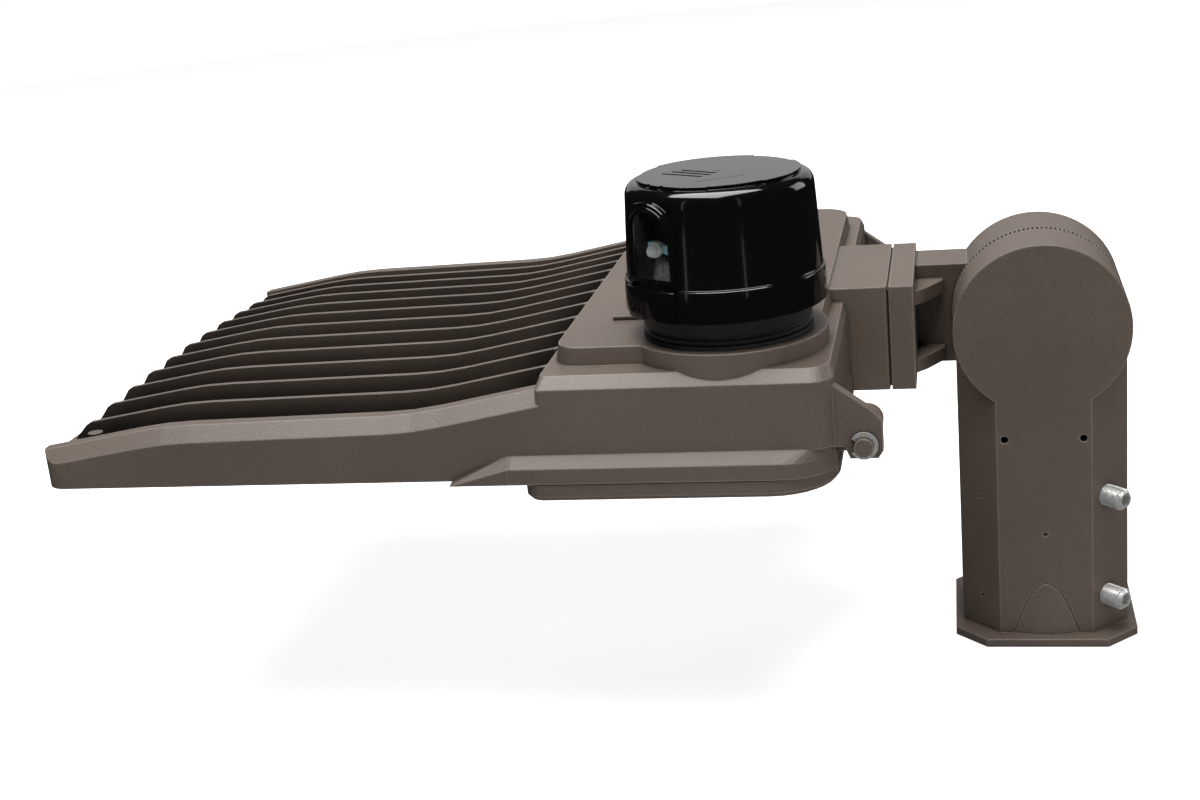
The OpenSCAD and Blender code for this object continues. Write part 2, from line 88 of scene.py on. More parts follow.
# soft studio: a white surround that lights little, a wide top light, a panel behind, one light for the
# far edges, two fills that gloss doesn't mirror, and two narrow lights that give the streaks
studio = {
    "surround": (1.0, 1.0, 1.0), "seenPower": 1.0, "lightPower": 0.055, "mirroredPower": 0.01,
    "lights": [
        {"name": "topSoftbox", "place": (-0.3, -0.15, 1.9), "aim": (-0.2, 0, 0.15),
         "size": (1.7, 1.7), "power": 90},
        {"name": "backPanel", "place": (-0.4, 2.2, 0.9), "aim": (-0.25, 0, 0.2),
         "size": (3.2, 1.3), "power": 8},
        {"name": "leftFill", "place": (-1.7, -1.1, 0.35), "aim": (-0.15, -0.1, 0.2),
         "size": (0.5, 0.7), "power": 0.8, "fill": True},
        {"name": "rightFill", "place": (1.2, -1.6, 0.4), "aim": (-0.1, -0.1, 0.2),
         "size": (0.5, 0.7), "power": 14, "fill": True},
        {"name": "leftStreak", "place": (-1.2, -1.5, 0.75), "aim": (-0.15, -0.1, 0.2),
         "size": (0.03, 1.3), "power": 0.25},
        {"name": "rightStreak", "place": (0.75, -1.6, 0.8), "aim": (-0.1, -0.1, 0.2),
         "size": (0.03, 1.3), "power": 0.22},
        {"name": "farEdgeBox", "place": (1.6, 0.9, 0.7), "aim": (0, 0, 0.12),
         "size": (0.8, 1.0), "power": 7},
    ],
    "floorColor": (0.65, 0.65, 0.65), "floorRoughness": 0.9, "floorSpecular": 0.1, "floorGlow": 0.8,
    "floorDrop": 0.0005, "floorRadius": 3.2, "floorSides": 96,
}


# one strength for a kind of ray, another for all the rest
def rayPower(tree, ray, plain, special):
    power = tree.nodes.new("ShaderNodeMapRange")
    power.inputs["To Min"].default_value = plain
    power.inputs["To Max"].default_value = special
    tree.links.new(tree.nodes.new("ShaderNodeLightPath").outputs[ray], power.inputs["Value"])
    return power


def buildSurround(values):
    world = bpy.data.worlds.new("paleSurround")
    bpy.context.scene.world = world
    world.use_nodes = True
    tree = world.node_tree
    backdrop = tree.nodes["Background"]
    backdrop.inputs["Color"].default_value = (*values["surround"], 1)
    mirrored = rayPower(tree, "Is Glossy Ray", values["lightPower"], values["mirroredPower"])
    seen = rayPower(tree, "Is Camera Ray", 0, values["seenPower"])
    tree.links.new(mirrored.outputs[0], seen.inputs["To Min"])
    tree.links.new(seen.outputs[0], backdrop.inputs["Strength"])


def buildLight(spec):
    lamp = bpy.data.lights.new(spec["name"], "AREA")
    lamp.shape = "RECTANGLE"
    lamp.size, lamp.size_y = spec["size"]
    lamp.energy = spec["power"]
    holder = bpy.data.objects.new(spec["name"], lamp)
    holder.location = spec["place"]
    aim = Vector(spec["aim"]) - Vector(spec["place"])
    holder.rotation_euler = aim.to_track_quat("-Z", "Y").to_euler()
    holder.visible_camera = False
    holder.visible_glossy = not spec.get("fill", False)
    bpy.context.collection.objects.link(holder)


def buildFloor(values):
    bm = bmesh.new()
    bmesh.ops.create_circle(bm, cap_ends=True, segments=values["floorSides"], radius=values["floorRadius"])
    bmesh.ops.translate(bm, verts=bm.verts, vec=(0, 0, -values["floorDrop"]))
    floor = meshObject("studioFloor", bm)
    material, tree, shader = blankMaterial("paleFloor")
    shader.inputs["Base Color"].default_value = (*values["floorColor"], 1)
    shader.inputs["Roughness"].default_value = values["floorRoughness"]
    shader.inputs["Specular IOR Level"].default_value = values["floorSpecular"]
    shader.inputs["Emission Color"].default_value = (1, 1, 1, 1)
    glow = rayPower(tree, "Is Camera Ray", 0, values["floorGlow"])
    tree.links.new(glow.outputs[0], shader.inputs["Emission Strength"])
    floor.data.materials.append(material)
    floor.visible_glossy = False  # dark gloss stays dark, as in the photograph


buildSurround(studio)
for spec in studio["lights"]:
    buildLight(spec)
buildFloor(studio)
print("studio built")


# helpers for shader groups and materials
def newGroup(name, inputs, outputs):
    tree = bpy.data.node_groups.new(name, "ShaderNodeTree")
    for label, kind, value in inputs:
        socket = tree.interface.new_socket(name=label, in_out="INPUT", socket_type=kind)
        socket.default_value = value
    for label, kind in outputs:
        tree.interface.new_socket(name=label, in_out="OUTPUT", socket_type=kind)
    return tree, tree.nodes.new("NodeGroupInput").outputs, tree.nodes.new("NodeGroupOutput").inputs


# i0 is the first input and so on, other inputs go by their label with _ for a space
def addNode(tree, kind, settings=None, **links):
    node = tree.nodes.new("ShaderNode" + kind)
    for key, value in (settings or {}).items():
        setattr(node, key, value)
    for key, value in links.items():
        numbered = key[0] == "i" and key[1:].isdigit()
        socket = node.inputs[int(key[1:])] if numbered else node.inputs[key.replace("_", " ")]
        if isinstance(value, bpy.types.NodeSocket):
            tree.links.new(value, socket)
        else:
            socket.default_value = value
    return node


def mathNode(tree, operation, a, b=0.0):
    return addNode(tree, "Math", {"operation": operation}, i0=a, i1=b).outputs[0]


def rangeNode(tree, value, low, high, toLow=0.0, toHigh=1.0):
    return addNode(tree, "MapRange", Value=value, From_Min=low, From_Max=high,
                   To_Min=toLow, To_Max=toHigh).outputs[0]


def mixColor(tree, factor, a, b, blend="MIX"):
    settings = {"data_type": "RGBA", "blend_type": blend}
    return addNode(tree, "Mix", settings, i0=factor, i6=a, i7=b).outputs[2]


def groupNode(tree, group, **links):
    return addNode(tree, "Group", {"node_tree": group}, **links)


# rounds sharp edges in the shading and gives a mask that is 1 on them
edgeLook = {"samples": 4, "span": (0.995, 0.86)}


def buildSoftEdge(look):
    tree, given, result = newGroup(
        "softEdge", [("Radius", "NodeSocketFloat", 0.0006)],
        [("Normal", "NodeSocketVector"), ("Edge", "NodeSocketFloat")])
    rounded = addNode(tree, "Bevel", {"samples": look["samples"]}, Radius=given["Radius"]).outputs[0]
    plain = addNode(tree, "NewGeometry").outputs["Normal"]
    along = addNode(tree, "VectorMath", {"operation": "DOT_PRODUCT"}, i0=rounded, i1=plain)
    tree.links.new(rounded, result["Normal"])
    tree.links.new(rangeNode(tree, along.outputs["Value"], *look["span"]), result["Edge"])
    return tree


# painted shade: 1 in the open, lower in gaps and between fins, where less light falls
paintedGapShadeLook = {"samples": 8, "span": (0.92, 0.5)}


def buildPaintedGapShade(look):
    tree, given, result = newGroup(
        "paintedGapShade", [("Distance", "NodeSocketFloat", 0.002), ("Darkest", "NodeSocketFloat", 0.4)],
        [("Shade", "NodeSocketFloat")])
    openness = addNode(tree, "AmbientOcclusion", {"samples": look["samples"]}, Distance=given["Distance"])
    depth = rangeNode(tree, openness.outputs["AO"], *look["span"])
    fall = mathNode(tree, "MULTIPLY", depth, mathNode(tree, "SUBTRACT", 1.0, given["Darkest"]))
    tree.links.new(mathNode(tree, "SUBTRACT", 1.0, fall), result["Shade"])
    return tree


# 1 between the rails on the far side of the driver box, where the fins stand
def buildFinField():
    tree, given, result = newGroup(
        "finField", [("Box Side", "NodeSocketFloat", -0.204), ("Half Width", "NodeSocketFloat", 0.126)],
        [("Mask", "NodeSocketFloat")])
    place = addNode(tree, "SeparateXYZ", i0=addNode(tree, "TexCoord").outputs["Object"]).outputs
    beyond = mathNode(tree, "LESS_THAN", place["X"], given["Box Side"])
    between = mathNode(tree, "LESS_THAN", mathNode(tree, "ABSOLUTE", place["Y"]), given["Half Width"])
    tree.links.new(mathNode(tree, "MULTIPLY", beyond, between), result["Mask"])
    return tree


# sprayed or moulded skin: flecks, pits, slow tone changes, and a fine relief
grainLook = {"fleckDetail": 2.0, "fleckRoughness": 0.65, "fleckSpan": (0.5, 0.66), "fleckHeight": 0.4,
             "pitSpan": (0.47, 0.34), "pitShare": 0.8, "pitColor": (0.012, 0.01, 0.009, 1),
             "bumpScale": 0.45, "bumpDetail": 1.0, "reliefDepth": 0.0004,
             "toneScale": 11.0, "toneDetail": 3.0, "toneSpan": (0.3, 0.7), "toneGain": (0.9, 1.1),
             "roughShift": (-0.04, 0.05)}


def buildFineGrain(look):
    tree, given, result = newGroup(
        "fineGrain",
        [("Base", "NodeSocketColor", (0.1, 0.1, 0.1, 1)), ("Fleck", "NodeSocketColor", (0.3, 0.3, 0.3, 1)),
         ("Fleck Amount", "NodeSocketFloat", 0.3), ("Size", "NodeSocketFloat", 1500.0),
         ("Relief", "NodeSocketFloat", 0.1), ("Roughness", "NodeSocketFloat", 0.5),
         ("Normal", "NodeSocketVector", (0, 0, 0))],
        [("Color", "NodeSocketColor"), ("Roughness", "NodeSocketFloat"), ("Normal", "NodeSocketVector")])
    place = addNode(tree, "TexCoord").outputs["Object"]
    fleck = addNode(tree, "TexNoise", Vector=place, Scale=given["Size"], Detail=look["fleckDetail"],
                    Roughness=look["fleckRoughness"]).outputs[0]
    bumpSize = mathNode(tree, "MULTIPLY", given["Size"], look["bumpScale"])
    bumps = addNode(tree, "TexNoise", Vector=place, Scale=bumpSize, Detail=look["bumpDetail"]).outputs[0]
    tone = addNode(tree, "TexNoise", Vector=place, Scale=look["toneScale"],
                   Detail=look["toneDetail"]).outputs[0]
    mask = mathNode(tree, "MULTIPLY", rangeNode(tree, fleck, *look["fleckSpan"]), given["Fleck Amount"])
    pitAmount = mathNode(tree, "MULTIPLY", given["Fleck Amount"], look["pitShare"])
    pits = mathNode(tree, "MULTIPLY", rangeNode(tree, fleck, *look["pitSpan"]), pitAmount)
    flecked = mixColor(tree, mask, given["Base"], given["Fleck"])
    pitted = mixColor(tree, pits, flecked, look["pitColor"])
    gain = rangeNode(tree, tone, *look["toneSpan"], *look["toneGain"])
    shaded = mixColor(tree, 1.0, pitted, gain, "MULTIPLY")
    height = mathNode(tree, "ADD", bumps, mathNode(tree, "MULTIPLY", fleck, look["fleckHeight"]))
    relief = addNode(tree, "Bump", Strength=given["Relief"], Distance=look["reliefDepth"], Height=height,
                     Normal=given["Normal"])
    shift = rangeNode(tree, tone, *look["toneSpan"], *look["roughShift"])
    tree.links.new(shaded, result["Color"])
    tree.links.new(mathNode(tree, "ADD", given["Roughness"], shift), result["Roughness"])
    tree.links.new(relief.outputs[0], result["Normal"])
    return tree


softEdge = buildSoftEdge(edgeLook)
paintedGapShade = buildPaintedGapShade(paintedGapShadeLook)
finField = buildFinField()
fineGrain = buildFineGrain(grainLook)


# a finish with fin values has finer edges between the fins, edges lightened partly as powder-coat wear and partly
# as a painted highlight, and painted shade between the fins and in gaps
def grainMaterial(name, values):
    material, tree, shader = blankMaterial(name)
    finned = "finEdge" in values
    edgeRadius = values["edge"] * mm
    if finned:
        fins = groupNode(tree, finField).outputs["Mask"]
        edgeRadius = rangeNode(tree, fins, 0.0, 1.0, edgeRadius, values["finEdge"] * mm)
    edge = groupNode(tree, softEdge, Radius=edgeRadius).outputs
    grain = groupNode(tree, fineGrain, Base=(*values["color"], 1), Fleck=(*values["fleck"], 1),
                      Fleck_Amount=values["flecks"], Size=values["size"], Relief=values["relief"],
                      Roughness=values["roughness"], Normal=edge["Normal"]).outputs
    color = grain["Color"]
    if finned:
        # edges made lighter: partly powder-coat wear, partly a painted highlight like the bright lines on lit
        # fillets
        edgeWearAndHighlight = mathNode(tree, "MULTIPLY", edge["Edge"], values["edgeAmount"])
        color = mixColor(tree, edgeWearAndHighlight, color, (*values["edgeTint"], 1))
        # painted shade: the colour is made darker between the fins and in gaps, where less light falls
        reach = rangeNode(tree, fins, 0.0, 1.0, values["gap"] * mm, values["finGap"] * mm)
        darkest = rangeNode(tree, fins, 0.0, 1.0, values["gapShadeDarkest"], values["finShadeDarkest"])
        shade = groupNode(tree, paintedGapShade, Distance=reach, Darkest=darkest)
        color = mixColor(tree, 1.0, color, shade.outputs["Shade"], "MULTIPLY")
    tree.links.new(color, shader.inputs["Base Color"])
    tree.links.new(grain["Roughness"], shader.inputs["Roughness"])
    tree.links.new(grain["Normal"], shader.inputs["Normal"])
    shader.inputs["Metallic"].default_value = values.get("metal", 0.0)
    return material


hazeLook = {"edge": 0.3, "scale": 120.0, "detail": 2.0, "span": (0.3, 0.7), "roughRise": 0.04,
            "tint": 0.93, "tintAmount": 0.3}


def clearMaterial(name, values, look):
    material, tree, shader = blankMaterial(name)
    edge = groupNode(tree, softEdge, Radius=look["edge"] * mm)
    haze = addNode(tree, "TexNoise", Vector=addNode(tree, "TexCoord").outputs["Object"],
                   Scale=look["scale"], Detail=look["detail"]).outputs[0]
    rough = rangeNode(tree, haze, *look["span"], values["roughness"], values["roughness"] + look["roughRise"])
    tinted = [c * look["tint"] for c in values["color"]]
    amount = rangeNode(tree, haze, *look["span"], 0.0, look["tintAmount"])
    color = mixColor(tree, amount, (*values["color"], 1), (*tinted, 1))
    tree.links.new(edge.outputs["Normal"], shader.inputs["Normal"])
    tree.links.new(rough, shader.inputs["Roughness"])
    tree.links.new(color, shader.inputs["Base Color"])
    shader.inputs["Transmission Weight"].default_value = 1.0
    shader.inputs["IOR"].default_value = values["ior"]
    return material


# lengths are in mm: edge, finEdge, gap and finGap; gap and finGap are how far the painted shade in gaps and
# between the fins reaches, and the two darkest values set how dark that painted shade gets
finishes = {
    "bronzePowder": {"color": (0.080, 0.060, 0.047), "fleck": (0.15, 0.122, 0.104), "flecks": 0.24,
                     "size": 2100.0, "relief": 0.17, "roughness": 0.47, "edge": 1.0,
                     # edgeTint and edgeAmount lighten the edges: partly powder-coat wear, partly painted
                     # highlight
                     "edgeTint": (0.3, 0.262, 0.236), "edgeAmount": 0.6, "gap": 2.2, "gapShadeDarkest": 0.35,
                     "finEdge": 0.45, "finGap": 22.0, "finShadeDarkest": 0.1},
    "zincPlate": {"color": (0.74, 0.74, 0.72), "fleck": (0.86, 0.86, 0.84), "flecks": 0.25, "size": 700.0,
                  "relief": 0.03, "roughness": 0.3, "metal": 0.72, "edge": 0.08},
    "siliconeRubber": {"color": (0.022, 0.022, 0.023), "fleck": (0.06, 0.06, 0.06), "flecks": 0.2,
                       "size": 900.0, "relief": 0.12, "roughness": 0.72, "edge": 0.4},
    "mattBlackPlastic": {"color": (0.012, 0.012, 0.013), "fleck": (0.035, 0.035, 0.036), "flecks": 0.2,
                         "size": 1100.0, "relief": 0.08, "roughness": 0.46, "edge": 0.4},
    "glossBlackPlastic": {"color": (0.002, 0.002, 0.0021), "fleck": (0.006, 0.006, 0.0063), "flecks": 0.1,
                          "size": 400.0, "relief": 0.006, "roughness": 0.08, "edge": 0.3},
    "whiteMoulding": {"color": (0.8, 0.8, 0.76), "fleck": (0.7, 0.7, 0.67), "flecks": 0.15, "size": 900.0,
                      "relief": 0.03, "roughness": 0.4, "edge": 0.3},
    "boardWhite": {"color": (0.82, 0.83, 0.8), "fleck": (0.74, 0.75, 0.72), "flecks": 0.2, "size": 600.0,
                   "relief": 0.02, "roughness": 0.34, "edge": 0.1},
    "sensorBoard": {"color": (0.3, 0.62, 0.7), "fleck": (0.4, 0.7, 0.75), "flecks": 0.3, "size": 700.0,
                    "relief": 0.05, "roughness": 0.35, "edge": 0.1},
    "boardGreen": {"color": (0.02, 0.13, 0.05), "fleck": (0.05, 0.2, 0.09), "flecks": 0.3, "size": 500.0,
                   "relief": 0.05, "roughness": 0.35, "edge": 0.1},
    "phosphor": {"color": (0.85, 0.62, 0.12), "fleck": (0.95, 0.78, 0.3), "flecks": 0.4, "size": 1800.0,
                 "relief": 0.05, "roughness": 0.45, "edge": 0.1},
    "driverCase": {"color": (0.62, 0.63, 0.65), "fleck": (0.72, 0.72, 0.74), "flecks": 0.3, "size": 500.0,
                   "relief": 0.05, "roughness": 0.38, "metal": 1.0, "edge": 0.6},
    "brassStrip": {"color": (0.72, 0.52, 0.2), "fleck": (0.8, 0.62, 0.3), "flecks": 0.3, "size": 600.0,
                   "relief": 0.02, "roughness": 0.28, "metal": 1.0, "edge": 0.15},
}
clearFinishes = {
    "clearPolycarbonate": {"color": (0.95, 0.97, 0.98), "roughness": 0.03, "ior": 1.58},
    "smokedWindow": {"color": (0.86, 0.88, 0.9), "roughness": 0.04, "ior": 1.5},
}
made = {name: grainMaterial(name, values) for name, values in finishes.items()}
made.update({name: clearMaterial(name, values, hazeLook) for name, values in clearFinishes.items()})

nodeFinish = {
    "slip_fitter_body": "bronzePowder", "tenon_set_screws": "zincPlate", "knuckle_arm": "bronzePowder",
    "knuckle_bolt": "zincPlate", "knuckle_washer": "zincPlate", "arm_gasket": "siliconeRubber",
    "arm_screws": "zincPlate", "head_housing": "bronzePowder", "door": "bronzePowder",
    "door_gasket": "siliconeRubber", "door_screws": "zincPlate", "hinge_pins": "bronzePowder",
    "hinge_clips": "zincPlate", "led_boards": "boardWhite", "leds": "phosphor",
    "lens_plates": "clearPolycarbonate", "lens_gasket": "siliconeRubber", "lens_frame": "bronzePowder",
    "lens_screws": "zincPlate", "led_driver": "driverCase", "driver_screws": "zincPlate",
    "surge_protector": "mattBlackPlastic", "terminal_block": "whiteMoulding",
    "receptacle_gasket": "siliconeRubber", "receptacle_body": "mattBlackPlastic",
    "receptacle_nut": "mattBlackPlastic", "receptacle_contacts": "brassStrip",
    "photocell_base": "glossBlackPlastic", "photocell_blades": "brassStrip", "photocell_board": "boardGreen",
    "light_sensor": "whiteMoulding", "photocell_cap": "glossBlackPlastic", "photocell_window": "smokedWindow",
}

# stands a flat drawing up: its X goes along +Y, its Y along +Z, and it rises along +X
standUp = Matrix(((0, 0, 1, 0), (1, 0, 0, 0), (0, 1, 0, 0), (0, 0, 0, 1)))


# turns a profile of (radius, height) points round +Z, then moves it to its place
def turnedShape(profile, steps=96, place=None):
    bm = bmesh.new()
    verts = [bm.verts.new((r * mm, 0, z * mm)) for r, z in profile]
    edges = [bm.edges.new(pair) for pair in zip(verts, verts[1:])]
    bmesh.ops.spin(bm, geom=verts + edges, cent=(0, 0, 0), axis=(0, 0, 1), angle=2 * math.pi,
                   steps=steps, use_merge=True)
    bmesh.ops.remove_doubles(bm, verts=bm.verts, dist=weld)
    bmesh.ops.recalc_face_normals(bm, faces=bm.faces)
    if place:
        bmesh.ops.transform(bm, matrix=place, verts=bm.verts)
    return bm


# a flat outline in X and Y raised along +Z, with its rims rounded
def raisedShape(outline, height, rim=0.0, rimSteps=3, place=None):
    bm = bmesh.new()
    base = bm.faces.new([bm.verts.new((x * mm, y * mm, 0)) for x, y in outline])
    top = bmesh.ops.extrude_face_region(bm, geom=[base])
    lifted = [g for g in top["geom"] if isinstance(g, bmesh.types.BMVert)]
    bmesh.ops.translate(bm, verts=lifted, vec=(0, 0, height * mm))
    bmesh.ops.recalc_face_normals(bm, faces=bm.faces)
    if rim:
        level = 1e-7
        rims = [e for e in bm.edges if abs(e.verts[0].co.z - e.verts[1].co.z) < level]
        bmesh.ops.bevel(bm, geom=rims, offset=rim * mm, segments=rimSteps, affect="EDGES", profile=0.5,
                        material=-1)
    if place:
        bmesh.ops.transform(bm, matrix=place, verts=bm.verts)
    return bm


def joinShapes(shapes):
    whole = bmesh.new()
    for bm in shapes:
        part = bpy.data.meshes.new("part")
        bm.to_mesh(part)
        bm.free()
        whole.from_mesh(part)
        bpy.data.meshes.remove(part)
    return whole


def cutAway(piece, cutter):
    tool = meshObject("cutter", cutter)
    cut = piece.modifiers.new("cut", "BOOLEAN")
    cut.operation = "DIFFERENCE"
    cut.solver = "EXACT"
    cut.object = tool
    bpy.context.view_layer.update()
    shaped = bpy.data.meshes.new_from_object(piece.evaluated_get(bpy.context.evaluated_depsgraph_get()))
    piece.modifiers.clear()
    piece.data = shaped
    bpy.data.objects.remove(tool)


def finishPiece(piece, finish, body, slotName, *nodes):
    piece.data.materials.clear()
    piece.data.materials.append(made[finish])
    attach(piece, body)
    if nodes:
        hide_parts(*nodes)


def placeAlong(start, direction):
    turn = Vector(direction).to_track_quat("Z", "Y").to_matrix().to_4x4()
    return Matrix.Translation(Vector(start) * mm) @ turn


def polygonPoints(count, radius):
    angles = [i * 2 * math.pi / count for i in range(count)]
    return [(radius * math.cos(angle), radius * math.sin(angle)) for angle in angles]


# set screws: cut thread, chamfered ends and a hex socket; thread gives root, crest, crest, root in turns
setScrew = {"radius": 5.0, "threadDepth": 0.8, "pitch": 1.25, "thread": (0.12, 0.46, 0.58, 0.94),
            "crestInset": 0.08, "length": 17.3, "chamfer": 1.0, "tipInset": 1.6, "endInset": 1.55,
            "lastTurn": 0.2, "steps": 48, "start": 31.8, "heights": (68.0, 20.0), "way": (1, -1, 0),
            "socket": 2.9, "socketDepth": 5.0, "socketReach": 7.0, "smoothAngle": 20}


def buildSetScrews(values):
    radius, pitch, length, chamfer = (values[k] for k in ("radius", "pitch", "length", "chamfer"))
    root, crest = radius - values["threadDepth"], radius - values["crestInset"]
    profile = [(0, 0), (radius - values["tipInset"], 0), (root, chamfer)]
    z = chamfer
    while z + pitch < length - chamfer + values["lastTurn"]:
        profile += [(r, z + turn * pitch) for r, turn in zip((root, crest, crest, root), values["thread"])]
        z += pitch
    profile += [(root, length - chamfer), (radius - values["endInset"], length), (0, length)]
    way = Vector(values["way"]).normalized() * values["start"]
    places = [placeAlong(Vector((0, 0, h)) + way, values["way"]) for h in values["heights"]]
    shapes = [turnedShape(profile, values["steps"], place=place) for place in places]
    piece = meshObject("threadedSetScrews", joinShapes(shapes))
    lift = Matrix.Translation((0, 0, (length - values["socketDepth"]) * mm))
    for place in places:
        hexagon = polygonPoints(6, values["socket"])
        cutAway(piece, raisedShape(hexagon, values["socketReach"], place=place @ lift))
    piece.data.set_sharp_from_angle(angle=math.radians(values["smoothAngle"]))
    finishPiece(piece, "zincPlate", "mount", "zinc_steel", "tenon_set_screws")


buildSetScrews(setScrew)

# snap rings on the hinge pins, open towards the head
snapRing = {"center": (-72.5, 132.5), "outer": 5.6, "inner": 3.9, "near": 136.35, "thick": 0.9,
            "gap": 64, "steps": 44}


def buildSnapRings(values):
    shapes = []
    cx, cz = values["center"]
    inner, outer, thick = values["inner"], values["outer"], values["thick"]
    gap = math.radians(values["gap"])
    for side in (-1, 1):
        bm = bmesh.new()
        corners = ((inner, 0), (outer, 0), (outer, thick), (inner, thick))
        face = bm.faces.new([bm.verts.new((r * mm, 0, z * mm)) for r, z in corners])
        turn = Matrix.Rotation(math.pi + gap / 2, 3, "Z")
        bmesh.ops.rotate(bm, verts=bm.verts, cent=(0, 0, 0), matrix=turn)
        bmesh.ops.spin(bm, geom=[face, *face.edges, *face.verts], cent=(0, 0, 0), axis=(0, 0, 1),
                       angle=2 * math.pi - gap, steps=values["steps"])
        bmesh.ops.remove_doubles(bm, verts=bm.verts, dist=weld)
        bmesh.ops.recalc_face_normals(bm, faces=bm.faces)
        place = placeAlong((cx, side * values["near"], cz), (0, side, 0))
        bmesh.ops.transform(bm, matrix=place, verts=bm.verts)
        shapes.append(bm)
    piece = meshObject("snapRings", joinShapes(shapes))
    finishPiece(piece, "zincPlate", "door", "zinc_steel", "hinge_clips")


buildSnapRings(snapRing)
print("screws and snap rings made")


# carries a profile of (out, radius) points along a closed way of (across, height) points on a drum round Z
def drumFrame(way, profile, drumRadius, sharpest=0.5):
    bm = bmesh.new()
    rings = []
    for i, (u, z) in enumerate(way):
        (ua, za), (ub, zb) = way[i - 1], way[(i + 1) % len(way)]
        before = Vector((u - ua, z - za)).normalized()
        after = Vector((ub - u, zb - z)).normalized()
        out = Vector((before.y + after.y, -before.x - after.x)).normalized()
        stretch = 1 / max(sharpest, out.dot(Vector((after.y, -after.x))))
        ring = []
        for away, radius in profile:
            across, height = u + out.x * away * stretch, z + out.y * away * stretch
            turn = across / drumRadius
            ring.append(bm.verts.new((radius * math.cos(turn) * mm, radius * math.sin(turn) * mm, height * mm)))
        rings.append(ring)
    for i, ring in enumerate(rings):
        following = rings[(i + 1) % len(rings)]
        for j in range(len(profile) - 1):
            bm.faces.new((ring[j], ring[j + 1], following[j + 1], following[j]))
        bm.faces.new((ring[-1], ring[0], following[0], following[-1]))
    bmesh.ops.recalc_face_normals(bm, faces=bm.faces)
    return bm


# wraps a raised shape, drawn flat in (across, height), onto a drum round Z
def wrapOnDrum(bm, radius, step=2.0):
    reach = max(v.co.x for v in bm.verts) / mm
    cut = -math.floor(reach / step) * step
    while cut <= reach:
        bmesh.ops.bisect_plane(bm, geom=[*bm.verts, *bm.edges, *bm.faces], plane_co=(cut * mm, 0, 0),
                               plane_no=(1, 0, 0), dist=1e-7)
        cut += step
    for v in bm.verts:
        turn = v.co.x / (radius * mm)
        away = radius * mm + v.co.z
        v.co = (away * math.cos(turn), away * math.sin(turn), v.co.y)
    bmesh.ops.recalc_face_normals(bm, faces=bm.faces)
    return bm


def archPoints(radius, low, high, steps=24):
    middle = (low + high) / 2
    angles = [math.pi * i / steps for i in range(steps + 1)]
    curve = [(radius * math.cos(a), high + radius * math.sin(a)) for a in angles]
    return [(radius, low), (radius, middle), *curve, (-radius, middle), (-radius, low)]


# the photocell's own frame: +Z up from the plateau, +X out through the middle of the window
cellPlace = Matrix.Translation((-0.127, -0.1, 0.1725)) @ Matrix.Rotation(math.radians(230), 4, "Z")

# photocell cap: turned skirt and drum, framed arched window, and a raised disc with notches on top
cap = {
    "skirtRadius": 41.0, "drumTop": 62.8, "steps": 128, "smoothAngle": 20,
    "skirtProfile": ((-0.5, 11.9), (-0.1, 12.3), (0, 12.9), (-0.45, 23.6), (-0.7, 24.5), (-1.3, 24.95)),
    "drumProfile": ((40.0, 25.1), (39.75, 25.3), (39.6, 25.8), (38.0, 56.0)),
    "shoulder": {"middle": 33.6, "out": 4.3, "up": 5.2, "steps": 8},
    "roofInside": 33, "roofThick": 2.2, "insideProfile": ((35, 58), (36.8, 27), (38.6, 24), (38.6, 11.9)),
    "archRadius": 11.0, "archLow": 28.0, "archHigh": 45.0, "opening": {"ease": 0.1, "from": 30, "reach": 14},
    "frameDrum": 39.0, "frameProfile": ((0, 35.6), (0, 40.5), (0.15, 40.95), (0.5, 41.2), (1.6, 41.2),
                                        (1.76, 40.75), (3.0, 40.7), (3.2, 40.3), (3.2, 37.4)),
    "panel": {"half": 13.5, "low": 12.2, "up": 24.9, "sunk": 0.7, "rise": 1.5, "rim": 0.5},
    "disc": 32.9, "discRise": 1.5, "notches": ((349, 3), (2.5, 3), (39.3, 40), (160, 40), (277, 40)),
    "notchDepth": 1.3, "sunk": 0.3, "fineRim": 0.12,
    "ribs": ((-18, 7, -4, -7), (-14, 8.5, -1.5, -4), (-22, 4.5, -7.5, -9.5), (-10, -19, 9, -14)),
    "ribTurn": 142.3, "ribWidth": 0.7, "ribHeight": 0.2,
    "dimple": ((0, 63.6), (0.4, 63.6), (1.3, 65), (0, 65)), "dimpleSteps": 24,
    "pane": {"archRadius": 10.75, "ease": 0.1, "drum": 38.2, "thick": 1.2, "rim": 0.2, "smoothAngle": 25},
}


def buildCapShell(values):
    skirt, top, shoulder = values["skirtRadius"], values["drumTop"], values["shoulder"]
    outside = [(skirt + r, z) for r, z in values["skirtProfile"]] + list(values["drumProfile"])
    for i in range(1, shoulder["steps"] + 1):
        angle = math.radians(90 * i / shoulder["steps"])
        outside.append((shoulder["middle"] + shoulder["out"] * math.cos(angle),
                        top - shoulder["up"] + shoulder["up"] * math.sin(angle)))
    roof = top - values["roofThick"]
    inside = [(0, roof), (values["roofInside"], roof), *values["insideProfile"]]
    shell = meshObject("glossCap", turnedShape([*inside, *outside, (0, top)], values["steps"]))
    hole = values["opening"]
    arch = archPoints(values["archRadius"] + hole["ease"], values["archLow"] - hole["ease"], values["archHigh"])
    place = Matrix.Translation((hole["from"] * mm, 0, 0)) @ standUp
    cutAway(shell, raisedShape(arch, hole["reach"], place=place))
    return shell


def buildCapDisc(values):
    outline = []
    for i in range(360):
        inset = any((i - start) % 360 < span for start, span in values["notches"])
        reach = values["disc"] - values["notchDepth"] * inset
        outline.append((reach * math.cos(math.radians(i)), reach * math.sin(math.radians(i))))
    place = Matrix.Translation((0, 0, (values["drumTop"] - values["sunk"]) * mm))
    height = values["discRise"] + values["sunk"]
    disc = meshObject("capDisc", raisedShape(outline, height, values["fineRim"], 2, place))
    cutAway(disc, turnedShape(values["dimple"], values["dimpleSteps"]))
    return disc


